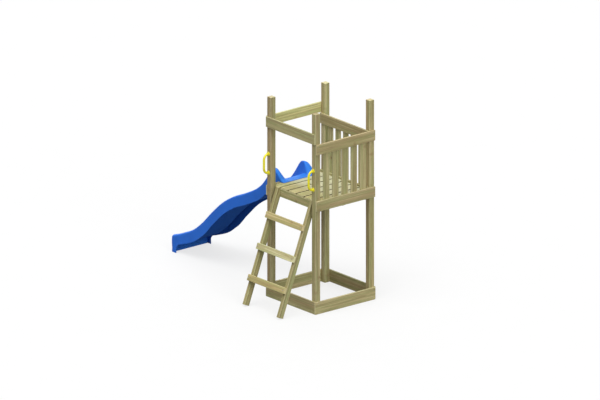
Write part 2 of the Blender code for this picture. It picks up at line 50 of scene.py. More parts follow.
POST_SIDE = 0.070
TOWER_SIDE = 0.870
BOARD = 0.020
GAP = 0.0003
DECK_TOP = 1.331
LADDER_LEAN = math.radians(20.8)
UP_THE_LADDER = Vector((math.sin(LADDER_LEAN), 0.0, math.cos(LADDER_LEAN)))
INTO_THE_LADDER = Vector((math.cos(LADDER_LEAN), 0.0, -math.sin(LADDER_LEAN)))
SIDEWAYS = Vector((0.0, 1.0, 0.0))


def tower(x, y, z):
    return ZERO + Vector((x, y, z))


# Shader nodes


class Graph:
    """A material's nodes, where an input is another node's output or a plain value."""

    def __init__(self, name):
        self.material = bpy.data.materials.new(name)
        self.material.use_nodes = True
        self.tree = self.material.node_tree
        self.shader = self.tree.nodes["Principled BSDF"]

    def feed(self, value, socket):
        if isinstance(value, bpy.types.NodeSocket):
            self.tree.links.new(value, socket)
        else:
            socket.default_value = value

    def node(self, kind, inputs, output=0, **settings):
        made = self.tree.nodes.new("ShaderNode" + kind)
        for key, value in settings.items():
            setattr(made, key, value)
        for key, value in inputs.items():
            self.feed(value, made.inputs[key])
        return made.outputs[output]

    def shade(self, **inputs):
        for name, value in inputs.items():
            self.feed(value, self.shader.inputs[name.replace("_", " ")])

    def number(self, operation, *values):
        return self.node("Math", dict(enumerate(values)), operation=operation)

    def vector(self, operation, *values, output=0):
        return self.node("VectorMath", dict(enumerate(values)), output, operation=operation)

    def between(self, value, low, high, at_low=0.0, at_high=1.0):
        """A smooth step from one value at low to another at high."""
        inputs = {"Value": value, "From Min": low, "From Max": high, "To Min": at_low, "To Max": at_high}
        return self.node("MapRange", inputs, interpolation_type="SMOOTHSTEP")

    def mix(self, share, first, second, blend="MIX"):
        inputs = {0: share, 6: first, 7: second}
        return self.node("Mix", inputs, 2, data_type="RGBA", blend_type=blend, clamp_factor=True)

    def noise(self, place, stretch, detail=2.0, output="Fac"):
        stretched = self.vector("MULTIPLY", place, stretch)
        inputs = {"Vector": stretched, "Scale": 1.0, "Detail": detail}
        return self.node("TexNoise", inputs, output)

    def sway(self, place, stretch, reach):
        """A wandering shift, up to half of reach to either side."""
        cloud = self.noise(place, stretch, 1.0, "Color")
        return self.vector("MULTIPLY", self.vector("SUBTRACT", cloud, (0.5, 0.5, 0.5)), reach)

    def own(self, name, output="Vector"):
        """A value that each object carries for itself."""
        return self.node("Attribute", {}, output, attribute_type="OBJECT", attribute_name=name)

    def painted(self, name):
        """A value that each point of a mesh carries."""
        return self.node("Attribute", {}, "Fac", attribute_name=name)


def colour(red, green, blue):
    return (red, green, blue, 1.0)


# Treated pine: its colours, then its year rings, knots and a painted highlight along its arrises
YELLOW_SAP = colour(0.495, 0.430, 0.225)
GREEN_SAP = colour(0.375, 0.380, 0.172)
HEARTWOOD = colour(0.365, 0.242, 0.128)
DARK_STREAK = colour(0.280, 0.228, 0.114)
PALE_STREAK = colour(0.620, 0.580, 0.340)
LATE_WOOD = colour(0.270, 0.195, 0.090)
ROUND_A_KNOT = colour(0.270, 0.165, 0.075)
KNOT = colour(0.140, 0.085, 0.045)
IN_A_CHECK = colour(0.085, 0.062, 0.032)
SAWN_END = colour(0.700, 0.650, 0.405)
# A painted highlight, pale along every arris of the timbers
ARRIS_HIGHLIGHT = colour(0.700, 0.650, 0.430)
# A painted light, pale, laid on the deck boards away from the ladder
PAINTED_DECK_LIGHT = colour(0.680, 0.690, 0.560)
# A painted shade, dark, down the sides of the deck boards in the gaps between them
GAP_SHADE = colour(0.085, 0.070, 0.038)
RING_WIDTH = 0.0042
KNOTS_PER_METRE = (2.3, 6.4, 6.4)
KNOT_EDGE = (0.0085, 0.0065)
KNOT_REACH = (0.042, 0.006)
KNOT_SWELL = 0.011
HEART_EDGE = (0.005, -0.006)
HEART_RAGGED = 0.040
# How wide and how ragged the painted highlight along the arrises is
ARRIS_HIGHLIGHT_WIDTH = (0.0052, 0.0018)
ARRIS_HIGHLIGHT_RAGGED = 0.004


def timber_material():
    """Sawn, pressure-treated pine: rings round a pith, brown heart, green salts, knots and checks."""
    g = Graph("treated_pine_sawn")
    along, across = g.own("board_along"), g.own("board_across")
    depth = g.vector("CROSS_PRODUCT", along, across)
    offset = g.vector("SUBTRACT", g.node("TexCoord", {}, "Object"), g.own("board_middle"))
    axes = [g.vector("DOT_PRODUCT", offset, axis, output="Value") for axis in (along, across, depth)]
    inside = g.node("CombineXYZ", dict(enumerate(axes)))
    place = g.vector("ADD", inside, g.own("board_lot"))

    # The pith wanders along the board
    wander = g.sway(place, (1.3, 0.4, 0.4), (0.0, 0.030, 0.030))
    ripple = g.sway(place, (7.0, 16.0, 16.0), (0.0, 0.004, 0.004))
    bent = g.vector("ADD", g.vector("ADD", inside, wander), g.vector("ADD", ripple, g.own("board_pith")))
    radius = g.vector("LENGTH", g.vector("MULTIPLY", bent, (0.0, 1.0, 1.0)), output="Value")

    # Knots, with the grain swelling round them
    crowded = g.vector("MULTIPLY", place, KNOTS_PER_METRE)
    cells = g.node("TexVoronoi", {"Vector": crowded, "Scale": 1.0}, "Position")
    from_knot = g.vector("SUBTRACT", place, g.vector("DIVIDE", cells, KNOTS_PER_METRE))
    from_knot = g.vector("LENGTH", g.vector("MULTIPLY", from_knot, (1.0, 0.62, 0.62)), output="Value")
    knot = g.between(from_knot, *KNOT_EDGE)
    round_knot = g.between(from_knot, *KNOT_REACH)
    radius = g.number("ADD", radius, g.number("MULTIPLY", round_knot, KNOT_SWELL))

    rings = g.number("FRACT", g.number("DIVIDE", radius, RING_WIDTH))
    late = g.number("MULTIPLY", g.between(rings, 0.35, 0.88), g.between(rings, 1.0, 0.90))
    late = g.number("MULTIPLY", late, g.between(g.noise(place, (1.0, 20.0, 20.0)), 0.3, 0.6, 0.35, 1.0))
    streak = g.noise(place, (1.5, 62.0, 62.0), 3.0)
    blotch = g.noise(place, (1.2, 26.0, 26.0), 2.0)
    fibre = g.noise(place, (22.0, 620.0, 620.0), 3.0)
    ragged = g.number("MULTIPLY", g.number("SUBTRACT", streak, 0.5), HEART_RAGGED)
    heart_edge = g.own("board_heart", "Fac")
    past_heart = g.number("SUBTRACT", g.number("ADD", radius, ragged), heart_edge)
    heart = g.between(past_heart, *HEART_EDGE)

    sap = g.mix(g.between(blotch, 0.38, 0.60), YELLOW_SAP, GREEN_SAP)
    brown = g.number("MULTIPLY", heart, g.own("board_brown", "Fac"))
    wood = g.mix(brown, sap, HEARTWOOD)
    wood = g.mix(g.between(streak, 0.44, 0.66, 0.0, 0.58), wood, DARK_STREAK)
    wood = g.mix(g.between(streak, 0.46, 0.30, 0.0, 0.55), wood, PALE_STREAK)
    wood = g.mix(g.number("MULTIPLY", late, 0.42), wood, LATE_WOOD)
    wood = g.mix(g.between(round_knot, 0.25, 1.0, 0.0, 0.40), wood, ROUND_A_KNOT)
    wood = g.mix(g.number("MULTIPLY", knot, 0.70), wood, KNOT)
    fibres = g.between(fibre, 0.25, 0.75, 0.88, 1.10)
    wood = g.mix(1.0, wood, g.node("CombineColor", {0: fibres, 1: fibres, 2: fibres}), "MULTIPLY")

    # Drying checks, fine splits that follow the grain
    split = g.noise(place, (2.6, 150.0, 150.0), 1.0)
    here = g.between(g.noise(place, (3.0, 9.0, 9.0), 1.0), 0.50, 0.66)
    split = g.number("MULTIPLY", g.between(split, 0.665, 0.70), here)
    wood = g.mix(g.number("MULTIPLY", split, 0.75), wood, IN_A_CHECK)

    # Sawn ends, and a painted highlight, pale along the arrises
    normal = g.node("NewGeometry", {}, "True Normal")
    end = g.number("ABSOLUTE", g.vector("DOT_PRODUCT", normal, along, output="Value"))
    end = g.between(end, 0.72, 0.95)
    wood = g.mix(g.number("MULTIPLY", end, g.own("board_sawn", "Fac")), wood, SAWN_END)
    inset = g.vector("SUBTRACT", g.own("board_half"), g.vector("ABSOLUTE", inside))
    depths = g.node("SeparateXYZ", {0: inset}).node.outputs
    arris = g.number("MAXIMUM", depths[1], depths[2])
    ragged = g.number("MULTIPLY", g.number("SUBTRACT", blotch, 0.5), ARRIS_HIGHLIGHT_RAGGED)
    arris_highlight = g.between(g.number("ADD", arris, ragged), *ARRIS_HIGHLIGHT_WIDTH)
    wood = g.mix(g.number("MULTIPLY", arris_highlight, 0.50), wood, ARRIS_HIGHLIGHT)

    # Deck boards: a painted light, paler away from the ladder, and a painted shade down their sides
    deck_light = g.between(axes[0], -0.24, 0.02, 0.0, g.own("board_scrubbed", "Fac"))
    wood = g.mix(deck_light, wood, PAINTED_DECK_LIGHT)
    # Painted shade on the sides of the deck boards, in the gaps between them
    flank = g.number("ABSOLUTE", g.vector("DOT_PRODUCT", normal, across, output="Value"))
    gap_shade = g.number("MULTIPLY", g.between(flank, 0.80, 0.98), g.own("board_grime", "Fac"))
    wood = g.mix(gap_shade, wood, GAP_SHADE)
    wood = g.mix(1.0, wood, g.own("board_tint", "Color"), "MULTIPLY")

    rough = g.between(fibre, 0.2, 0.8, 0.66, 0.86)
    rough = g.number("SUBTRACT", rough, g.number("MULTIPLY", late, 0.08))
    height = g.number("MULTIPLY", fibre, 0.22)
    height = g.number("ADD", height, g.number("MULTIPLY", late, 0.10))
    height = g.number("SUBTRACT", height, g.number("MULTIPLY", split, 0.90))
    height = g.number("ADD", height, g.number("MULTIPLY", knot, 0.15))
    bump = g.node("Bump", {"Height": height, "Strength": 0.9, "Distance": 0.0008})
    g.shade(Base_Color=wood, Roughness=rough, Normal=bump, Specular_IOR_Level=0.25)
    return g.material


# Plastics and steel, each from a darker to a lighter cloud
BLUES = (colour(0.024, 0.146, 0.640), colour(0.030, 0.166, 0.710))
SCUFFED_BLUE = colour(0.160, 0.300, 0.720)
# A painted highlight, lighter blue along the top of the rim
RIM_HIGHLIGHT_BLUE = colour(0.120, 0.270, 0.760)
# Painted light: a lighter blue on faces that turn up and toward -Y, the way given below
PAINTED_LIGHT_BLUE = colour(0.042, 0.262, 0.930)
# A painted shade, dark blue on the underside
UNDERSIDE_SHADE_BLUE = colour(0.012, 0.070, 0.330)
TOWARD_PAINTED_LIGHT = (0.0, -0.45, 0.89)
YELLOWS = (colour(0.825, 0.720, 0.016), colour(0.890, 0.815, 0.026))
RUBBED_YELLOW = colour(0.950, 0.910, 0.120)
ZINCS = (colour(0.30, 0.30, 0.28), colour(0.42, 0.42, 0.39))


def slide_material():
    """Moulded polyethylene: a satin blue, an orange-peel skin, scuffs down the bed, a painted highlight
    along the rim, painted light on faces turned up and toward -Y, and painted shade on the underside.
    """
    g = Graph("blue_moulded_plastic")
    place = g.node("TexCoord", {}, "Object")
    ways = {0: g.painted("run"), 1: g.painted("round"), 2: 0.0}
    along = g.node("CombineXYZ", ways)
    cloud = g.noise(place, (4.0, 4.0, 4.0), 3.0)
    peel = g.noise(place, (260.0, 260.0, 260.0), 2.0)
    scuffs = g.noise(along, (2.2, 210.0, 1.0), 2.0)
    patch = g.between(g.noise(along, (3.0, 9.0, 1.0), 2.0), 0.46, 0.62)
    scuff = g.number("MULTIPLY", g.between(scuffs, 0.60, 0.68), patch)
    scuff = g.number("MULTIPLY", scuff, g.painted("ridden"))
    shaded_underside = g.painted("shaded_underside")
    base = g.mix(g.between(cloud, 0.3, 0.7), *BLUES)
    base = g.mix(g.number("MULTIPLY", scuff, 0.35), base, SCUFFED_BLUE)
    # Painted highlight along the top of the rim
    base = g.mix(g.number("MULTIPLY", g.painted("edge"), 0.18), base, RIM_HIGHLIGHT_BLUE)
    # Painted light on the faces that turn up and toward -Y
    normal = g.node("NewGeometry", {}, "Normal")
    facing_the_light = g.vector("DOT_PRODUCT", normal, TOWARD_PAINTED_LIGHT, output="Value")
    base = g.mix(g.between(facing_the_light, 0.30, 0.85, 0.0, 0.80), base, PAINTED_LIGHT_BLUE)
    # Painted shade on the underside; the same mark makes the underside rougher
    base = g.mix(g.number("MULTIPLY", shaded_underside, 0.30), base, UNDERSIDE_SHADE_BLUE)
    rough = g.between(cloud, 0.3, 0.7, 0.48, 0.58)
    rough = g.number("ADD", rough, g.number("MULTIPLY", scuff, 0.20))
    rough = g.number("SUBTRACT", rough, g.number("MULTIPLY", g.painted("ridden"), 0.04))
    rough = g.number("ADD", rough, g.number("MULTIPLY", shaded_underside, 0.45))
    height = g.number("SUBTRACT", g.number("MULTIPLY", peel, 0.30), g.number("MULTIPLY", scuff, 0.35))
    bump = g.node("Bump", {"Height": height, "Strength": 0.5, "Distance": 0.0006})
    g.shade(Base_Color=base, Roughness=rough, Normal=bump, Specular_IOR_Level=0.10)
    return g.material


def handle_material():
    """Moulded yellow plastic with a fine leathery skin, rubbed smoother where hands hold it."""
    g = Graph("yellow_moulded_plastic")
    place = g.node("TexCoord", {}, "Object")
    cloud = g.noise(place, (14.0, 14.0, 14.0), 2.0)
    cells = g.node("TexVoronoi", {"Vector": place, "Scale": 620.0}, "Distance")
    base = g.mix(g.between(cloud, 0.3, 0.7), *YELLOWS)
    base = g.mix(g.number("MULTIPLY", g.painted("edge"), 0.35), base, RUBBED_YELLOW)
    held = g.painted("ridden")
    rough = g.number("SUBTRACT", g.between(cloud, 0.3, 0.7, 0.40, 0.50), g.number("MULTIPLY", held, 0.12))
    bump = g.node("Bump", {"Height": cells, "Strength": 0.35, "Distance": 0.0003})
    g.shade(Base_Color=base, Roughness=rough, Normal=bump, Specular_IOR_Level=0.45)
    return g.material


def steel_material():
    """Zinc-plated steel with a cloudy plating."""
    g = Graph("zinc_plated_steel")
    place = g.node("TexCoord", {}, "Object")
    cloud = g.noise(place, (900.0, 900.0, 900.0), 2.0)
    spangle = g.node("TexVoronoi", {"Vector": place, "Scale": 1400.0}, "Color")
    base = g.mix(g.between(cloud, 0.3, 0.7), *ZINCS)
    base = g.mix(0.15, base, spangle)
    rough = g.between(cloud, 0.3, 0.7, 0.30, 0.46)
    bump = g.node("Bump", {"Height": cloud, "Strength": 0.2, "Distance": 0.0001})
    g.shade(Base_Color=base, Roughness=rough, Normal=bump, Metallic=1.0)
    return g.material


WOOD = timber_material()
BLUE = slide_material()
YELLOW = handle_material()
STEEL = steel_material()

# Timbers keep their CAD solids

STILE_TOP_LEVEL = 0.031
STILE_DEPTH = 0.070
STILE_MIDDLE = 0.700
STEP_HEIGHT = 0.074
STEP_THICKNESS = 0.038
SQUARE_HALF = 0.030
WELD_REACH = 0.00002
SOFT_EDGE = 0.0009
SOFT_ANGLE = math.radians(25)
FRAME_TIMBER = ("post", "base_board", "top_rail", "lower_rail", "joist")
OTHER_TIMBER = ("slat", "deck", "ladder_stile", "ladder_step")
ACROSS_A_BOARD = {0: (1, 2), 1: (0, 2), 2: (0, 1)}
# How each board's colour departs from the plain wood
TINTS = {
    "post_front_left": (0.99, 0.96, 0.97),
    "post_front_right": (0.98, 0.95, 0.95),
    "post_back_right": (1.07, 1.03, 0.98),
    "post_back_left": (1.11, 1.12, 1.08),
    "base_board_right": (1.08, 1.06, 1.02),
    "base_board_front": (1.00, 0.97, 0.95),
    "base_board_left": (1.03, 1.02, 0.97),
    "base_board_back": (0.93, 0.92, 0.86),
    "top_rail_front": (0.98, 1.02, 0.97),
    "top_rail_left": (1.34, 1.43, 1.28),
    "top_rail_right": (1.04, 0.97, 0.94),
    "top_rail_back": (0.98, 0.96, 0.92),
    "lower_rail_right": (1.03, 0.99, 0.97),
    "lower_rail_back": (1.00, 0.99, 0.93),
    "joist_front": (1.00, 1.01, 0.95),
    "deck_board_1": (1.30, 1.28, 1.17),
    "deck_board_2": (1.26, 1.24, 1.13),
    "ladder_stile_left": (0.96, 0.97, 0.88),
    "ladder_stile_right": (0.99, 1.02, 0.96),
    "ladder_step_1": (1.22, 1.14, 1.02),
    "ladder_step_2": (1.34, 1.41, 1.44),
    "ladder_step_3": (1.30, 1.18, 1.10),
}
DECK_TINT = (1.16, 1.16, 1.05)
SLAT_TINT = (1.04, 1.05, 1.00)
TINT_SPREAD = 0.03
# How brown the heartwood shows, by how a board's name starts
BROWN = 0.62
BROWNS = {
    "slat": 0.36,
    "lower_rail_right": 0.30,
    "top_rail_back": 0.42,
    "top_rail_left": 0.22,
    "top_rail_right": 0.40,
    "ladder_step": 0.30,
    "ladder_stile": 0.30,
    "deck": 0.40,
}
# How pale a sawn end shows
SAWN = 0.55
SAWNS = {"post_front_right": 0.12}
# Deck boards: how strong the painted light away from the ladder is, and the painted shade down the sides
# of each, less beside the slide
DECK_PAINTED_LIGHT = 0.58
DECK_GAP_SHADE = (0.85, 0.85, 0.85, 0.80, 0.60, 0.40)


def board_axes(name, low, high):
    """The middle of a timber, its axes along and across the grain, and its half sizes by them."""
    size = high - low
    middle = (low + high) / 2
    if name.startswith("ladder_stile"):
        length = size.z / math.cos(LADDER_LEAN)
        foot = tower(POST_SIDE - STILE_TOP_LEVEL - DECK_TOP * math.tan(LADDER_LEAN), 0.0, 0.0)
        foot.y = middle.y
        middle = foot + INTO_THE_LADDER * STILE_DEPTH / 2 + UP_THE_LADDER * STILE_MIDDLE
        return middle, UP_THE_LADDER, SIDEWAYS, Vector((length, size.y, STILE_DEPTH)) / 2
    if name.startswith("ladder_step"):
        return middle, SIDEWAYS, UP_THE_LADDER, Vector((size.y, STEP_HEIGHT, STEP_THICKNESS)) / 2
    longest = max(range(3), key=lambda axis: size[axis])
    wide, thick = sorted(ACROSS_A_BOARD[longest], key=lambda axis: -size[axis])
    along, across = Vector(), Vector()
    along[longest], across[wide] = 1.0, 1.0
    return middle, along, across, Vector((size[longest], size[wide], size[thick])) / 2


def by_start(name, shares, plain):
    """The share for the first start that a name has, or the plain one."""
    return next((share for start, share in shares.items() if name.startswith(start)), plain)


def grow(board, name, draw):
    """Gives a board its own place in the log and its own colours, which the wood reads."""
    middle, along, across, half = board_axes(name, *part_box(name))
    square = half.z > SQUARE_HALF
    reach = draw.uniform(0.012, 0.030) if square else draw.uniform(0.028, 0.070)
    side = draw.choice((-1, 1))
    board["board_middle"] = list(middle)
    board["board_along"] = list(along)
    board["board_across"] = list(across)
    board["board_half"] = list(half)
    board["board_pith"] = [0.0, draw.uniform(-0.022, 0.022), side * reach]
    board["board_heart"] = draw.uniform(0.024, 0.034) if square else draw.uniform(0.026, 0.044)
    board["board_lot"] = [draw.uniform(3.0, 60.0) for _ in range(3)]
    deck = name.startswith("deck_board")
    tint = TINTS.get(name, DECK_TINT if deck else SLAT_TINT)
    shift = draw.uniform(-TINT_SPREAD, TINT_SPREAD)
    board["board_tint"] = [part * (1 + shift) for part in tint]
    board["board_brown"] = by_start(name, BROWNS, BROWN)
    board["board_sawn"] = by_start(name, SAWNS, SAWN)
    # Deck boards carry a painted light away from the ladder and a painted shade down their sides
    board["board_scrubbed"] = DECK_PAINTED_LIGHT if deck else 0.0
    board["board_grime"] = DECK_GAP_SHADE[int(name[-1]) - 1] if deck else 0.0


def soften(board):
    """Takes the sharpness off the eased edges."""
    weld = board.modifiers.new("weld", "WELD")
    weld.merge_threshold = WELD_REACH
    bevel = board.modifiers.new("soften", "BEVEL")
    bevel.width = SOFT_EDGE
    bevel.segments = 2
    bevel.limit_method = "ANGLE"
    bevel.angle_limit = SOFT_ANGLE


def dress_timbers():
    draw = random.Random(11)
    for name in sorted(nodes):
        if not name.startswith(FRAME_TIMBER + OTHER_TIMBER) or "screw" in name:
            continue
        grow(nodes[name], name, draw)
        for slot in nodes[name].material_slots:
            slot.material = WOOD
        soften(nodes[name])


dress_timbers()

# Meshes


def piece(name, shape, look, replaced=(), smooth=True):
    """A finished piece made from a bmesh in the row frame."""
    bmesh.ops.recalc_face_normals(shape, faces=shape.faces)
    for face in shape.faces:
        face.smooth = smooth
    mesh = bpy.data.meshes.new(name)
    shape.to_mesh(mesh)
    shape.free()
    mesh.materials.append(look)
    made = bpy.data.objects.new(name, mesh)
    bpy.context.scene.collection.objects.link(made)
    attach(made, "root")
    if replaced:
        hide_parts(*replaced)
    return made


def add_body(shape, rings):
    """A closed body through rings of points, each ring having the same number of points."""
    made = [[shape.verts.new(point) for point in ring] for ring in rings]
    for near, far in zip(made, made[1:]):
        for index in range(len(near)):
            after = (index + 1) % len(near)
            shape.faces.new((near[index], near[after], far[after], far[index]))
    shape.faces.new(made[0])
    shape.faces.new(list(reversed(made[-1])))


def frame_of(direction):
    """Two unit vectors square to a direction."""
    direction = direction.normalized()
    helper = SIDEWAYS if abs(direction.y) < 0.9 else Vector((0.0, 0.0, 1.0))
    first = direction.cross(helper).normalized()
    return first, direction.cross(first)


# Screws

ROUND_STEPS = 24
LOBES = 6
LOBE_SWELL = 0.16
HEX_ACROSS = 0.0125
HEX_HEIGHT = 0.006
COACH_SHANK_RADIUS = 0.004
# The CAD's screws: the way each kind is driven
DRIVEN = {
    "step_screw": INTO_THE_LADDER,
    "ladder_screw": Vector((-1.0, 0.0, 0.0)),
    "joist_screw": Vector((-1.0, 0.0, 0.0)),
    "handle_screw": Vector((1.0, 0.0, 0.0)),
    "slide_screw": Vector((0.0, 0.0, -1.0)),
}
# The height of a head and the radius of a shank
STEP_SCREW = (0.0035, 0.003)
SMALL_SCREW = (0.0025, 0.002)


def round_radii(radius):
    return [radius] * ROUND_STEPS


def lobed_radii(radius):
    turns = [2 * math.pi * step / ROUND_STEPS for step in range(ROUND_STEPS)]
    return [radius * (1 + LOBE_SWELL * math.cos(LOBES * turn)) for turn in turns]


def hexagon_radii(across, most=math.inf):
    """A hexagon, or with most, a hexagon whose corners are cut off by a circle."""
    radii = []
    for step in range(ROUND_STEPS):
        turn = (2 * math.pi * step / ROUND_STEPS + math.pi / 6) % (math.pi / 3) - math.pi / 6
        radii.append(min(across / 2 / math.cos(turn), most))
    return radii


def ring_round(top, inward, depth, radii):
    """A ring of points round a screw's axis, with the radius of each."""
    first, second = frame_of(inward)
    ring = []
    for step, radius in enumerate(radii):
        turn = 2 * math.pi * step / len(radii)
        out = first * math.cos(turn) + second * math.sin(turn)
        ring.append(top + inward * depth + out * radius)
    return ring


def add_screw_head(shape, top, inward, profile, recess, recess_depth):
    """A head with a six-lobed recess. profile runs from the rim down, as (radius, depth)."""
    sunk = [(0.55 * recess, recess_depth), (recess, 0.92 * recess_depth), (1.03 * recess, 0.00025)]
    rings = [ring_round(top, inward, depth, lobed_radii(radius)) for radius, depth in sunk]
    rings += [ring_round(top, inward, depth, round_radii(radius)) for radius, depth in profile]
    add_body(shape, rings)


def add_wood_screw(shape, top, inward, head, length, sizes):
    high, shank = sizes
    profile = [
        (0.62 * head, 0.0002),
        (0.80 * head, 0.0007),
        (0.93 * head, 0.45 * high),
        (0.995 * head, 0.72 * high),
        (0.995 * head, high),
        (shank, high),
        (shank, length - 2 * shank),
        (0.35 * shank, length),
    ]
    add_screw_head(shape, top, inward, profile, 0.42 * head, 0.55 * high)


def add_coach_screw(shape, top, inward, flange, length):
    """A hexagon head on its flange, with a plain shank below."""
    rings = [
        (0.0, round_radii(0.40 * HEX_ACROSS)),
        (0.0003, round_radii(0.485 * HEX_ACROSS)),
        (0.0010, hexagon_radii(HEX_ACROSS, 0.545 * HEX_ACROSS)),
        (0.0016, hexagon_radii(HEX_ACROSS)),
        (HEX_HEIGHT - 0.0018, hexagon_radii(HEX_ACROSS)),
        (HEX_HEIGHT - 0.0015, round_radii(0.94 * flange)),
        (HEX_HEIGHT - 0.0007, round_radii(flange)),
        (HEX_HEIGHT, round_radii(flange)),
        (HEX_HEIGHT, round_radii(COACH_SHANK_RADIUS)),
        (length, round_radii(COACH_SHANK_RADIUS)),
    ]
    add_body(shape, [ring_round(top, inward, depth, radii) for depth, radii in rings])


def room_of_screw(name, inward):
    """The top of a CAD screw, the radius of its head and its length."""
    points = [vertex.co for vertex in nodes[name].data.vertices]
    depths = [point.dot(inward) for point in points]
    first, second = frame_of(inward)
    reach = [[point.dot(axis) for point in points] for axis in (first, second)]
    middle = [(min(values) + max(values)) / 2 for values in reach]
    top = inward * min(depths) + first * middle[0] + second * middle[1]
    return top, (max(reach[0]) - min(reach[0])) / 2, max(depths) - min(depths)


def replace_screws():
    """Each CAD screw gets a head with a recess, or a hexagon, in the very room it takes."""
    for name in sorted(nodes):
        kind = next((start for start in DRIVEN if name.startswith(start)), None)
        if kind is None:
            continue
        inward = DRIVEN[kind]
        top, head, length = room_of_screw(name, inward)
        shape = bmesh.new()
        if kind in ("ladder_screw", "joist_screw"):
            add_coach_screw(shape, top, inward, head, length)
        else:
            sizes = STEP_SCREW if kind == "step_screw" else SMALL_SCREW
            add_wood_screw(shape, top, inward, head, length, sizes)
        piece("fine_" + name, shape, STEEL, (name,), smooth=False)


replace_screws()

# Countersunk screws in every board, set in pits

PIT_STEPS = 16
PIT_PROFILE = [(0.0051, -0.0010), (0.0046, 0.0), (0.0023, 0.0046)]
SUNK = 0.0005
HEAD_PROFILE = [(0.0040, 0.0), (0.0042, 0.0003), (0.0021, 0.0034), (0.0021, 0.0060)]
HEAD_RECESS = 0.0019
HEAD_RECESS_DEPTH = 0.0018
# At a post, one screw stands near the board's end and one far from it, above and below its middle
NEAR_END = 0.024
FAR_FROM_END = 0.046
OFF_MIDDLE = 0.27
SLAT_SCREW_LEVELS = (1.345, 1.975)
SLAT_SCREW_OFF = 0.027
DECK_SCREW_OFF = 0.040
# The side that a screw is driven from, as an axis and the way the screw goes along it
DRIVEN_FROM = {"front": (0, 1), "back": (0, -1), "right": (1, 1), "left": (1, -1), "top": (2, -1)}


def drive_screws(group, sites):
    """One piece of screw heads for a group of boards, and their pits cut from the boards."""
    heads = bmesh.new()
    pits = {}
    for board, face, inward in sites:
        top = face + inward * SUNK
        add_screw_head(heads, top, inward, HEAD_PROFILE, HEAD_RECESS, HEAD_RECESS_DEPTH)
        pits.setdefault(board, []).append((face, inward))
    piece(group, heads, STEEL, smooth=False)
    for board, places in pits.items():
        cut_pits(board, places)


def cut_pits(board, places):
    shape = bmesh.new()
    for face, inward in places:
        add_body(
            shape,
            [ring_round(face, inward, depth, [radius] * PIT_STEPS) for radius, depth in PIT_PROFILE],
        )
    bmesh.ops.recalc_face_normals(shape, faces=shape.faces)
    mesh = bpy.data.meshes.new(board + "_pits")
    shape.to_mesh(mesh)
    shape.free()
    cutter = bpy.data.objects.new(board + "_pits", mesh)
    cutter.hide_render = True
    bpy.context.scene.collection.objects.link(cutter)
    cut = nodes[board].modifiers.new("pits", "BOOLEAN")
    cut.operation = "DIFFERENCE"
    cut.object = cutter


def middle_of(name):
    low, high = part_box(name)
    return [(a + b) / 2 for a, b in zip(low, high)]


def site(board, side, place):
    """A board, the place on its face where a screw goes in, and the way the screw goes."""
    axis, way = DRIVEN_FROM[side]
    low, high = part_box(board)
    face = Vector(place)
    face[axis] = low[axis] if way > 0 else high[axis]
    inward = Vector()
    inward[axis] = way
    return board, face, inward


def sites_at_posts(board, side):
    """Two screws, set off from each other, where a board crosses a post at each of its ends."""
    low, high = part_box(board)
    height, middle = high.z - low.z, (low.z + high.z) / 2
    sites = []
    for near, far in (
        (NEAR_END, FAR_FROM_END),
        (TOWER_SIDE - NEAR_END, TOWER_SIDE - FAR_FROM_END),
    ):
        for run, rise in ((near, OFF_MIDDLE), (far, -OFF_MIDDLE)):
            place = (ZERO.x + run, ZERO.y + run, middle + rise * height)
            sites.append(site(board, side, place))
    return sites


def sites_on_slats():
    """Two screws side by side where a slat meets each rail."""
    sites = []
    for number in range(1, 6):
        for fence, side in (("right", "left"), ("back", "back")):
            board = f"slat_{fence}_{number}"
            x, y, _ = middle_of(board)
            for level in SLAT_SCREW_LEVELS:
                for off in (-SLAT_SCREW_OFF, SLAT_SCREW_OFF):
                    sites.append(site(board, side, (x + off, y + off, level)))
    return sites


def sites_on_deck():
    """Two screws where a deck board crosses each joist."""
    sites = []
    for number in range(1, 7):
        board = f"deck_board_{number}"
        for joist in ("joist_front", "joist_middle", "joist_back"):
            for off in (-DECK_SCREW_OFF, DECK_SCREW_OFF):
                place = (middle_of(joist)[0], middle_of(board)[1] + off, 0.0)
                sites.append(site(board, "top", place))
    return sites


def add_board_screws():
    rails = []
    for board, side in (
        ("top_rail_front", "front"),
        ("top_rail_left", "left"),
        ("top_rail_right", "right"),
        ("lower_rail_right", "right"),
        ("top_rail_back", "front"),
        ("lower_rail_back", "front"),
        ("deck_rim_left", "left"),
    ):
        rails += sites_at_posts(board, side)
    base = []
    for side in ("front", "back", "right", "left"):
        base += sites_at_posts("base_board_" + side, side)
    drive_screws("rail_screws", rails)
    drive_screws("base_screws", base)
    drive_screws("slat_screws", sites_on_slats())
    drive_screws("deck_screws", sites_on_deck())


add_board_screws()

# Grab handles

HANDLE_MIDDLE = 1.602
HANDLE_SPAN = 0.228
HANDLE_REACH = 0.068
HANDLE_GRIP = 0.100
HANDLE_RADIUS = 0.0135
HANDLE_SLIMMED = 0.035
FOOT_RADIUS = 0.026
FOOT_THICK = 0.009
NECK_SUNK = 0.0016
BEND_STEPS = 14
GRIP_STEPS = 8
BAR_STEPS = 30
# A fine ridge on each side, where the two halves of the mould met, in degrees round the bar
SEAMS = (90, 270)
SEAM_HALF = 3.5
SEAM_CLEAR = 10
SEAM_RIDGE = 0.00035
SEAM_RUBBED = 0.8


def bezier(a, b, c, d, count):
    found = []
    for step in range(count + 1):
        t = step / count
        s = 1 - t
        found.append(a * s**3 + b * (3 * s * s * t) + c * (3 * s * t * t) + d * t**3)
    return found


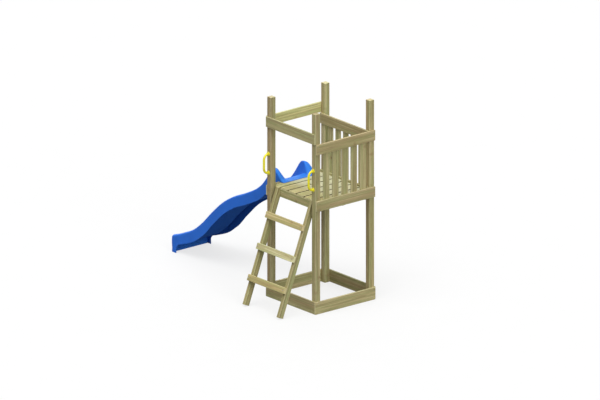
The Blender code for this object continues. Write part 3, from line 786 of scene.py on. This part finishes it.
def handle_path():
    """The middle line of the bar in X and Z, from the top foot's face to the bottom foot's face."""
    foot, grip = HANDLE_SPAN / 2, HANDLE_GRIP / 2
    pull = 0.6 * (foot - grip)
    out = HANDLE_REACH
    top = bezier(
        Vector((-FOOT_THICK, 0, foot)),
        Vector((-0.56 * out, 0, foot)),
        Vector((-out, 0, grip + pull)),
        Vector((-out, 0, grip)),
        BEND_STEPS,
    )
    straight = [
        Vector((-out, 0, grip - HANDLE_GRIP * step / GRIP_STEPS)) for step in range(1, GRIP_STEPS)
    ]
    return top + straight + [Vector((point.x, 0, -point.z)) for point in reversed(top)]


def bar_angles():
    """Even steps round the bar, with three close together at each seam, and which of them ride it."""
    even = [360 * step / BAR_STEPS for step in range(BAR_STEPS)]
    clear = [way for way in even if all(abs(way - seam) > SEAM_CLEAR for seam in SEAMS)]
    close = [seam + off for seam in SEAMS for off in (-SEAM_HALF, 0.0, SEAM_HALF)]
    return [(math.radians(way), way in SEAMS) for way in sorted(clear + close)]


def collar_rings(middle, height, up):
    """The rings of a round foot from the post outward, each with how far its edge is rubbed."""
    collar = [
        (FOOT_RADIUS - 0.0012, 0.0, 0.0),
        (FOOT_RADIUS, 0.0010, 0.3),
        (FOOT_RADIUS, FOOT_THICK - 0.0028, 0.2),
        (FOOT_RADIUS - 0.0005, FOOT_THICK - 0.0012, 0.8),
        (FOOT_RADIUS - 0.0018, FOOT_THICK - 0.0003, 0.8),
        (FOOT_RADIUS - 0.0034, FOOT_THICK, 0.2),
        (HANDLE_RADIUS + 0.0016, FOOT_THICK, 0.0),
        (HANDLE_RADIUS + 0.0005, FOOT_THICK + 0.0004, 0.0),
    ]
    return [(middle + Vector((-out, 0, height)), up, radius, edge) for radius, out, edge in collar]


def bar_rings(middle):
    """The rings along the bar, each with how much it is held."""
    path = handle_path()
    rings = []
    for index, centre in enumerate(path):
        if index in (0, len(path) - 1):
            tangent = Vector((-1, 0, 0)) if index == 0 else Vector((1, 0, 0))
            centre = centre - Vector((NECK_SUNK, 0, 0))
        else:
            tangent = (path[index + 1] - path[index - 1]).normalized()
        first = SIDEWAYS.cross(tangent).normalized() * -1
        held = math.sin(math.pi * index / (len(path) - 1)) ** 2
        radius = HANDLE_RADIUS * (1 - HANDLE_SLIMMED + HANDLE_SLIMMED * held)
        rings.append((middle + centre, first, radius, held))
    return rings


def add_handle(side):
    low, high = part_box("handle_" + side)
    middle = Vector((ZERO.x - GAP, (low.y + high.y) / 2, HANDLE_MIDDLE))
    foot = HANDLE_SPAN / 2
    up = Vector((0, 0, 1))
    plan = [(*ring, 0.0, 0.0) for ring in collar_rings(middle, foot, up)]
    for centre, first, radius, held in bar_rings(middle):
        plan.append((centre, first, radius, 0.0, held, SEAM_RIDGE))
    plan += [(*ring, 0.0, 0.0) for ring in reversed(collar_rings(middle, -foot, -up))]
    rings = []
    edges = []
    rides = []
    for centre, first, radius, edge, held, ridge in plan:
        ring = []
        for angle, seam in bar_angles():
            bulge = radius + (ridge if seam else 0.0)
            ring.append(centre + (first * math.cos(angle) + SIDEWAYS * math.sin(angle)) * bulge)
            edges.append(max(edge, SEAM_RUBBED if seam and ridge else 0.0))
            rides.append(held)
        rings.append(ring)
    shape = bmesh.new()
    add_body(shape, rings)
    handle = piece(f"fine_handle_{side}", shape, YELLOW, ("handle_" + side,))
    paint(handle, "edge", edges)
    paint(handle, "ridden", rides)


def paint(made, name, values):
    layer = made.data.attributes.new(name, "FLOAT", "POINT")
    layer.data.foreach_set("value", values)


add_handle("right")
add_handle("left")

# Slide

WIDTH = 0.500
WALL = 0.005
REACH = 1.9265
EXIT_HEIGHT = 0.092
LIP_ON_DECK = 0.070
LIP_CORNER = 0.035
LIP_EDGE_RISE = 0.010
LIP_EDGE_RUN = 0.030
BED_DISH = 0.004
BED_HALF_WIDTH = 0.148
WALL_RUN = 0.041
WALL_CURVE = 1.7
RIDGE_SHARE = 0.93
SIDE_HEIGHT = 0.118
RIM_INSET = 0.034
RIM_DROP = 0.026
SKIRT_DEPTH = 0.128
SKIRT_FLARE = 0.007
SIDE_RISE = (0.010, 0.162)
RIDGE_RISE = (0.060, 0.165)
RIM_SPREAD = (0.165, 0.050)
RIM_SPREAD_SHARE = 0.35
WING_PEAK = 0.225
WING_FRONT = 0.115
WING_BACK = 0.190
WING_RISE = 0.060
WING_LEAN = 0.020
EXIT_SIDE_HEIGHT = 0.104
EXIT_TAPER = 0.250
EXIT_LEAN = 0.027
EXIT_BULGE_HEIGHT = 0.158
FOOT_LENGTH = 0.085
FOOT_EDGE = 0.006
FOOT_CORNER = 0.055
RIM_BEVEL = 0.0014
# At the lip the sheet is flat, so its wall starts at a tenth and its skirt keeps a fifth
WALL_AT_LIP = 0.1
SKIRT_AT_LIP = 0.2
MOST_DROP = 0.6
# From the exit up, the underside's painted shade deepens over this length
UNDERSIDE_SHADE_FADE = 0.45
# The part of the bed that is ridden: how far out of its middle, and how far below and above the bed
RIDDEN_WIDTH = 1.12 * BED_HALF_WIDTH
RIDDEN_BELOW = 0.002
RIDDEN_ABOVE = 0.03
# How far below the rim's top the painted highlight along the rim reaches
HIGHLIT_RIM_DEPTH = 0.010
LIP_STEPS = 10
BED_STEPS = 6
WALL_STEPS = 7
RIDGE_STEPS = 4
RIM_STEPS = 6
SKIRT_STEPS = 5
# How far the bed has come down, at shares of its run
FALL_LINE = (
    (0.0, 0.0),
    (0.056, 0.040),
    (0.124, 0.138),
    (0.208, 0.247),
    (0.316, 0.338),
    (0.436, 0.422),
    (0.532, 0.513),
    (0.628, 0.640),
    (0.723, 0.783),
    (0.808, 0.885),
    (0.904, 0.954),
    (1.0, 1.0),
)


def ease(share):
    share = min(max(share, 0.0), 1.0)
    return share * share * (3 - 2 * share)


def part_way(x, reach):
    return min(max((x - reach[0]) / (reach[1] - reach[0]), 0.0), 1.0)


def smooth_line(knots, x):
    """The height at x and the slope there of a smooth line through its knots, level at the first."""
    steps = [(b[1] - a[1]) / (b[0] - a[0]) for a, b in zip(knots, knots[1:])]
    slopes = [0.0] + [(a + b) / 2 for a, b in zip(steps, steps[1:])] + [steps[-1]]
    index = sum(1 for knot in knots[1:-1] if knot[0] <= x)
    (x_0, y_0), (x_1, y_1) = knots[index], knots[index + 1]
    width = x_1 - x_0
    t = (x - x_0) / width
    curve = (2 * t**3 - 3 * t**2 + 1) * y_0 + (3 * t**2 - 2 * t**3) * y_1
    curve += width * ((t**3 - 2 * t**2 + t) * slopes[index] + (t**3 - t**2) * slopes[index + 1])
    slope = 6 * (t - t**2) * (y_1 - y_0) / width
    slope += (3 * t**2 - 4 * t + 1) * slopes[index] + (3 * t**2 - 2 * t) * slopes[index + 1]
    return curve, slope


class Slide:
    """The lines of the slide, each a function of the tower's Y."""

    lip = TOWER_SIDE - LIP_ON_DECK
    brow = TOWER_SIDE + BOARD + 10 * GAP
    end = TOWER_SIDE + REACH
    top = DECK_TOP + GAP + WALL
    fall = top - EXIT_HEIGHT

    def bed(self, y):
        if y <= self.brow:
            return self.top, 0.0
        run = self.end - self.brow
        share, slope = smooth_line(FALL_LINE, (y - self.brow) / run)
        return self.top - share * self.fall, -slope * self.fall / run

    def wing(self, y):
        past = y - self.lip - WING_PEAK
        off_peak = min(max(-past / WING_FRONT, past / WING_BACK), 1.0)
        return math.cos(off_peak * math.pi / 2) ** 2

    def rim(self, y):
        risen = ease(part_way(y - self.lip, SIDE_RISE))
        edge = LIP_EDGE_RISE * ease((y - self.lip) / LIP_EDGE_RUN)
        side = edge + (SIDE_HEIGHT - edge) * risen
        taper = ease(1 - (self.end - y) / EXIT_TAPER) * (SIDE_HEIGHT - EXIT_SIDE_HEIGHT)
        return self.bed(y)[0] + side + WING_RISE * self.wing(y) - taper

    def hem(self, y):
        if y >= self.end - FOOT_LENGTH:
            return 0.0
        height, slope = self.bed(y)
        hem = height + SIDE_HEIGHT - SKIRT_DEPTH * math.hypot(1.0, slope)
        short = max(FOOT_CORNER - (self.end - FOOT_LENGTH - y), 0.0)
        hem -= FOOT_CORNER - math.sqrt(FOOT_CORNER**2 - short**2)
        return hem if y > self.brow else max(hem, DECK_TOP + GAP)

    def half_width(self, y):
        short = max(LIP_CORNER - (y - self.lip), 0.0)
        return WIDTH / 2 - LIP_CORNER + math.sqrt(LIP_CORNER**2 - short**2)

    def section(self, y):
        """The upper face from the middle out to the hem: (distance from the middle, height)."""
        half = self.half_width(y)
        bed, rim, hem = self.bed(y)[0], self.rim(y), self.hem(y)
        wing = self.wing(y)
        wall = WALL_AT_LIP + (1 - WALL_AT_LIP) * part_way(y - self.lip, RIDGE_RISE)
        spread = ease(part_way(y - self.lip, RIM_SPREAD))
        base = half - WIDTH / 2 + BED_HALF_WIDTH
        floor = bed + BED_DISH * wall
        ridge = floor + (rim - floor) * RIDGE_SHARE * wall
        ridge_at = base + WALL_RUN * wall
        crest = half - RIM_INSET * (1 - RIM_SPREAD_SHARE * spread) - WING_LEAN * wing
        points = []
        for step in range(BED_STEPS + 1):
            share = step / BED_STEPS
            points.append((share * base, bed + share**3 * (floor - bed)))
        for step in range(1, WALL_STEPS + 1):
            share = step / WALL_STEPS
            points.append((base + share * (ridge_at - base), floor + (ridge - floor) * share**WALL_CURVE))
        for step in range(1, RIDGE_STEPS + 1):
            share = step / RIDGE_STEPS
            rise = (rim - ridge) * (1 - (1 - share) ** 2)
            points.append((ridge_at + share * (crest - ridge_at), ridge + rise))
        drop = min(RIM_DROP + WING_RISE * wing / 2, MOST_DROP * (rim - hem))
        for step in range(1, RIM_STEPS + 1):
            turn = math.pi / 2 * step / RIM_STEPS
            points.append((crest + (half - crest) * math.sin(turn), rim - drop * (1 - math.cos(turn))))
        skirt = rim - drop - hem
        for step in range(1, SKIRT_STEPS + 1):
            down = skirt * step / SKIRT_STEPS
            points.append((half + down * SKIRT_FLARE / SKIRT_DEPTH, rim - drop - down))
        return [(-w, z) for w, z in reversed(points)] + points[1:]

    def under_section(self, y):
        """The lower face: the upper one set back by the wall, measured square to the bed."""
        points = self.section(y)
        stretch = math.hypot(1.0, self.bed(y)[1])
        inward = []
        for (w_0, z_0), (w_1, z_1) in zip(points, points[1:]):
            inward.append(Vector((z_1 - z_0, w_0 - w_1)).normalized())
        set_back = []
        for (w, z), before, after in zip(points, inward[:1] + inward, inward + inward[-1:]):
            shift = WALL * (before + after) / (1 + before.dot(after))
            set_back.append((w + shift.x, z + stretch * shift.y))
        half = set_back[len(set_back) // 2 :]
        half[-1] = (half[-1][0], points[-1][1])
        if y <= self.brow:
            half = self.settled(half, self.hem(y), self.rim(y))
        return [(-w, z) for w, z in reversed(half)] + half[1:]

    def settled(self, half, hem, rim):
        """Where the sheet is too low for its wall, its lower face lies on the deck, its skirt even."""
        half = [(w, max(z, hem)) for w, z in half]
        (turn_w, turn_z), (end_w, end_z) = half[-SKIRT_STEPS - 1], half[-1]
        turn_z = max(turn_z, hem + SKIRT_AT_LIP * (rim - hem))
        for step in range(SKIRT_STEPS + 1):
            share = step / SKIRT_STEPS
            place = (turn_w + share * (end_w - turn_w), turn_z + share * (end_z - turn_z))
            half[step - SKIRT_STEPS - 1] = place
        return half

    def stations(self, end):
        """The places of the sheet's cross rows, closest where its lines bend most."""
        wing_end = self.lip + WING_PEAK + WING_BACK
        foot = self.end - FOOT_LENGTH
        stations = []
        for step in range(LIP_STEPS):
            turn = math.pi / 2 * step / LIP_STEPS
            stations.append(self.lip + LIP_CORNER * (1 - math.cos(turn)))
        stations += spaced(self.lip + LIP_CORNER, self.brow, 8)
        stations += spaced(self.brow, wing_end, 26)
        stations += spaced(wing_end, foot - FOOT_CORNER, 62)
        stations += spaced(foot - FOOT_CORNER, foot - FOOT_EDGE, 8)
        stations += [foot - FOOT_EDGE, foot - FOOT_EDGE / 2, foot]
        stations += spaced(foot + 0.01, end, 6)
        return stations + [end]


def spaced(start, end, count):
    return [start + (end - start) * step / count for step in range(count)]


def sheet_rows(shape, section, stations):
    """Rows of points across the slide, then the rows of the flange that closes its end."""
    rows = []
    for y in stations:
        rows.append([shape.verts.new(tower(TOWER_SIDE / 2 + w, y, z)) for w, z in section(y)])
    last = rows[-1]
    flange = [last[SKIRT_STEPS:-SKIRT_STEPS]]
    for step in range(1, SKIRT_STEPS + 1):
        row = [last[SKIRT_STEPS - step]]
        for top in flange[0][1:-1]:
            row.append(shape.verts.new((top.co.x, top.co.y, top.co.z * (1 - step / SKIRT_STEPS))))
        flange.append(row + [last[step - SKIRT_STEPS - 1]])
    for point in set(last).union(*flange):
        point.co.y -= EXIT_LEAN * (1 - point.co.z / EXIT_BULGE_HEIGHT) ** 2
    return rows, flange


def edge_of_sheet(rows, flange):
    """The free edge, once round: the lip, one hem, the foot of the flange and the other hem."""
    one_hem = [row[-1] for row in rows[1:-1]]
    other_hem = [row[0] for row in reversed(rows[1:-1])]
    return rows[0] + one_hem + flange[-1][::-1] + other_hem


def add_slide():
    lines = Slide()
    shape = bmesh.new()
    shaded_underside = shape.verts.layers.float.new("shaded_underside")
    upper = sheet_rows(shape, lines.section, lines.stations(lines.end))
    lower = sheet_rows(shape, lines.under_section, lines.stations(lines.end - WALL))
    # The lower sheet carries a painted shade, none at the exit and full further up
    for row in lower[0]:
        for point in row:
            point[shaded_underside] = ease((lines.end - (point.co.y - ZERO.y)) / UNDERSIDE_SHADE_FADE)
    for sheet in (upper, lower):
        for grid in sheet:
            for near, far in zip(grid, grid[1:]):
                for left in range(len(near) - 1):
                    shape.faces.new((near[left], near[left + 1], far[left + 1], far[left]))
    over, under = edge_of_sheet(*upper), edge_of_sheet(*lower)
    for index in range(len(over)):
        shape.faces.new((over[index - 1], over[index], under[index], under[index - 1]))
    bmesh.ops.recalc_face_normals(shape, faces=shape.faces)
    shape.verts.index_update()
    rims = []
    for loop in (over, under):
        for index in range(len(loop)):
            rims.append(shape.edges.get((loop[index - 1], loop[index])))
    bmesh.ops.bevel(
        shape,
        geom=[edge for edge in rims if edge],
        offset=RIM_BEVEL,
        segments=2,
        profile=0.5,
        affect="EDGES",
        clamp_overlap=True,
    )
    slide = piece("fine_slide", shape, BLUE, ("slide",))
    paint_slide(slide, lines)
    sharpen = slide.modifiers.new("weighted", "WEIGHTED_NORMAL")
    sharpen.keep_sharp = True


def paint_slide(slide, lines):
    """Gives each point its run down the bed, its way across, how much it is ridden, and whether it
    carries the painted highlight along the rim.
    """
    marks = {"run": [], "round": [], "ridden": [], "edge": []}
    middle = ZERO.x + TOWER_SIDE / 2
    for vertex in slide.data.vertices:
        place = vertex.co - ZERO
        y = min(max(place.y, lines.lip), lines.end)
        w = vertex.co.x - middle
        bed, slope = lines.bed(y)
        over_bed = place.z - bed
        on_bed = abs(w) < RIDDEN_WIDTH and -RIDDEN_BELOW < over_bed < RIDDEN_ABOVE
        # Points near the top of the rim carry the painted highlight
        on_rim = abs(w) > BED_HALF_WIDTH and place.z - lines.rim(y) > -HIGHLIT_RIM_DEPTH
        marks["run"].append(place.y * math.hypot(1.0, slope))
        marks["round"].append(w + 0.5 * over_bed)
        marks["ridden"].append(1.0 if on_bed else 0.0)
        marks["edge"].append(1.0 if on_rim else 0.0)
    for name, values in marks.items():
        paint(slide, name, values)


add_slide()

# Floor, light and camera

VIEW_TURN = math.radians(39.6234)
VIEW_TILT = math.radians(18.5448)
METRES_ACROSS = 6.8529
# The middle of the view from the foot of the front right post: to the right, up, and how far back
VIEW_RIGHT = -0.1785
VIEW_UP = 1.306
VIEW_BACK = 20.0
FAR_CLIP = 100.0
FLOOR_HALF = 45.0
FLOOR_LEVEL = -0.0008
FLOOR_GREYS = (colour(0.195, 0.195, 0.195), colour(0.205, 0.205, 0.205))
FLOOR_AS_LIGHT = colour(0.20, 0.20, 0.195)
FLOOR_GLOW = 0.738
LAMP_DISTANCE = 5.0
SKY_LOW = 0.38
SKY_HIGH = 0.62


def rays(graph, *kinds):
    """1 for the kinds of ray that look at a surface and don't light by it."""
    paths = graph.node("LightPath", {}).node.outputs
    total = paths[kinds[0]]
    for kind in kinds[1:]:
        total = graph.number("MAXIMUM", total, paths[kind])
    return total


def add_floor():
    """A white floor to look at, that keeps a faint shadow and throws little light back up."""
    g = Graph("pale_floor")
    seen = rays(g, "Is Camera Ray", "Is Glossy Ray", "Is Transmission Ray")
    grain = g.noise(g.node("TexCoord", {}, "Object"), (3.0, 3.0, 3.0), 3.0)
    base = g.mix(seen, FLOOR_AS_LIGHT, g.mix(grain, *FLOOR_GREYS))
    g.shade(Base_Color=base, Roughness=0.9, Specular_IOR_Level=0.0)
    glow = g.number("MULTIPLY", seen, FLOOR_GLOW)
    g.shade(Emission_Color=colour(1.0, 1.0, 1.0), Emission_Strength=glow)
    mesh = bpy.data.meshes.new("floor")
    corners = [(-1, -1), (1, -1), (1, 1), (-1, 1)]
    points = [(x * FLOOR_HALF, y * FLOOR_HALF, FLOOR_LEVEL) for x, y in corners]
    mesh.from_pydata(points, [], [(0, 1, 2, 3)])
    mesh.materials.append(g.material)
    floor = bpy.data.objects.new("floor", mesh)
    bpy.context.scene.collection.objects.link(floor)


def add_world():
    """Plain white to look at; as light, a sky that is brighter overhead than at the horizon."""
    world = bpy.data.worlds.new("studio")
    bpy.context.scene.world = world
    world.use_nodes = True
    tree = world.node_tree
    background = tree.nodes["Background"]
    background.inputs["Color"].default_value = colour(1.0, 1.0, 1.0)
    paths = tree.nodes.new("ShaderNodeLightPath").outputs
    seen = paths["Is Camera Ray"]
    for kind in ("Is Glossy Ray", "Is Transmission Ray"):
        either = tree.nodes.new("ShaderNodeMath")
        either.operation = "MAXIMUM"
        tree.links.new(seen, either.inputs[0])
        tree.links.new(paths[kind], either.inputs[1])
        seen = either.outputs[0]
    ways = tree.nodes.new("ShaderNodeSeparateXYZ")
    tree.links.new(tree.nodes.new("ShaderNodeTexCoord").outputs["Generated"], ways.inputs[0])
    sky = tree.nodes.new("ShaderNodeMapRange")
    sky.inputs["To Min"].default_value = SKY_LOW
    sky.inputs["To Max"].default_value = SKY_HIGH
    tree.links.new(ways.outputs["Z"], sky.inputs["Value"])
    strength = tree.nodes.new("ShaderNodeMapRange")
    tree.links.new(sky.outputs[0], strength.inputs["To Min"])
    strength.inputs["To Max"].default_value = 1.0
    tree.links.new(seen, strength.inputs["Value"])
    tree.links.new(strength.outputs[0], background.inputs["Strength"])


def add_sun(name, toward, softness, strength):
    """A soft lamp far off, which lights the whole tower alike. toward points from tower to lamp."""
    light = bpy.data.lights.new(name, "SUN")
    light.angle = math.radians(softness)
    light.energy = strength
    lamp = bpy.data.objects.new(name, light)
    lamp.rotation_mode = "QUATERNION"
    lamp.rotation_quaternion = Vector(toward).to_track_quat("Z", "Y")
    lamp.location = Vector(toward) * LAMP_DISTANCE
    bpy.context.scene.collection.objects.link(lamp)


def add_camera():
    right = Vector((math.cos(VIEW_TURN), -math.sin(VIEW_TURN), 0.0))
    level = Vector((math.sin(VIEW_TURN), math.cos(VIEW_TURN), 0.0))
    up = level * math.sin(VIEW_TILT) + Vector((0.0, 0.0, math.cos(VIEW_TILT)))
    forward = level * math.cos(VIEW_TILT) - Vector((0.0, 0.0, math.sin(VIEW_TILT)))
    data = bpy.data.cameras.new("camera")
    data.type = "ORTHO"
    data.ortho_scale = METRES_ACROSS
    data.clip_end = FAR_CLIP
    camera = bpy.data.objects.new("camera", data)
    camera.location = ZERO + right * VIEW_RIGHT + up * VIEW_UP - forward * VIEW_BACK
    camera.rotation_mode = "QUATERNION"
    camera.rotation_quaternion = forward.to_track_quat("-Z", "Y")
    bpy.context.scene.collection.objects.link(camera)
    bpy.context.scene.camera = camera


add_floor()
add_world()
add_sun("overhead_lamp", toward=(-0.38, -0.10, 0.92), softness=40.0, strength=1.75)
add_sun("side_lamp", toward=(-0.15, -0.85, 0.50), softness=28.0, strength=1.12)
add_sun("back_lamp", toward=(0.60, 0.60, 0.50), softness=60.0, strength=0.60)
add_camera()
bpy.context.scene.view_settings.view_transform = "Standard"
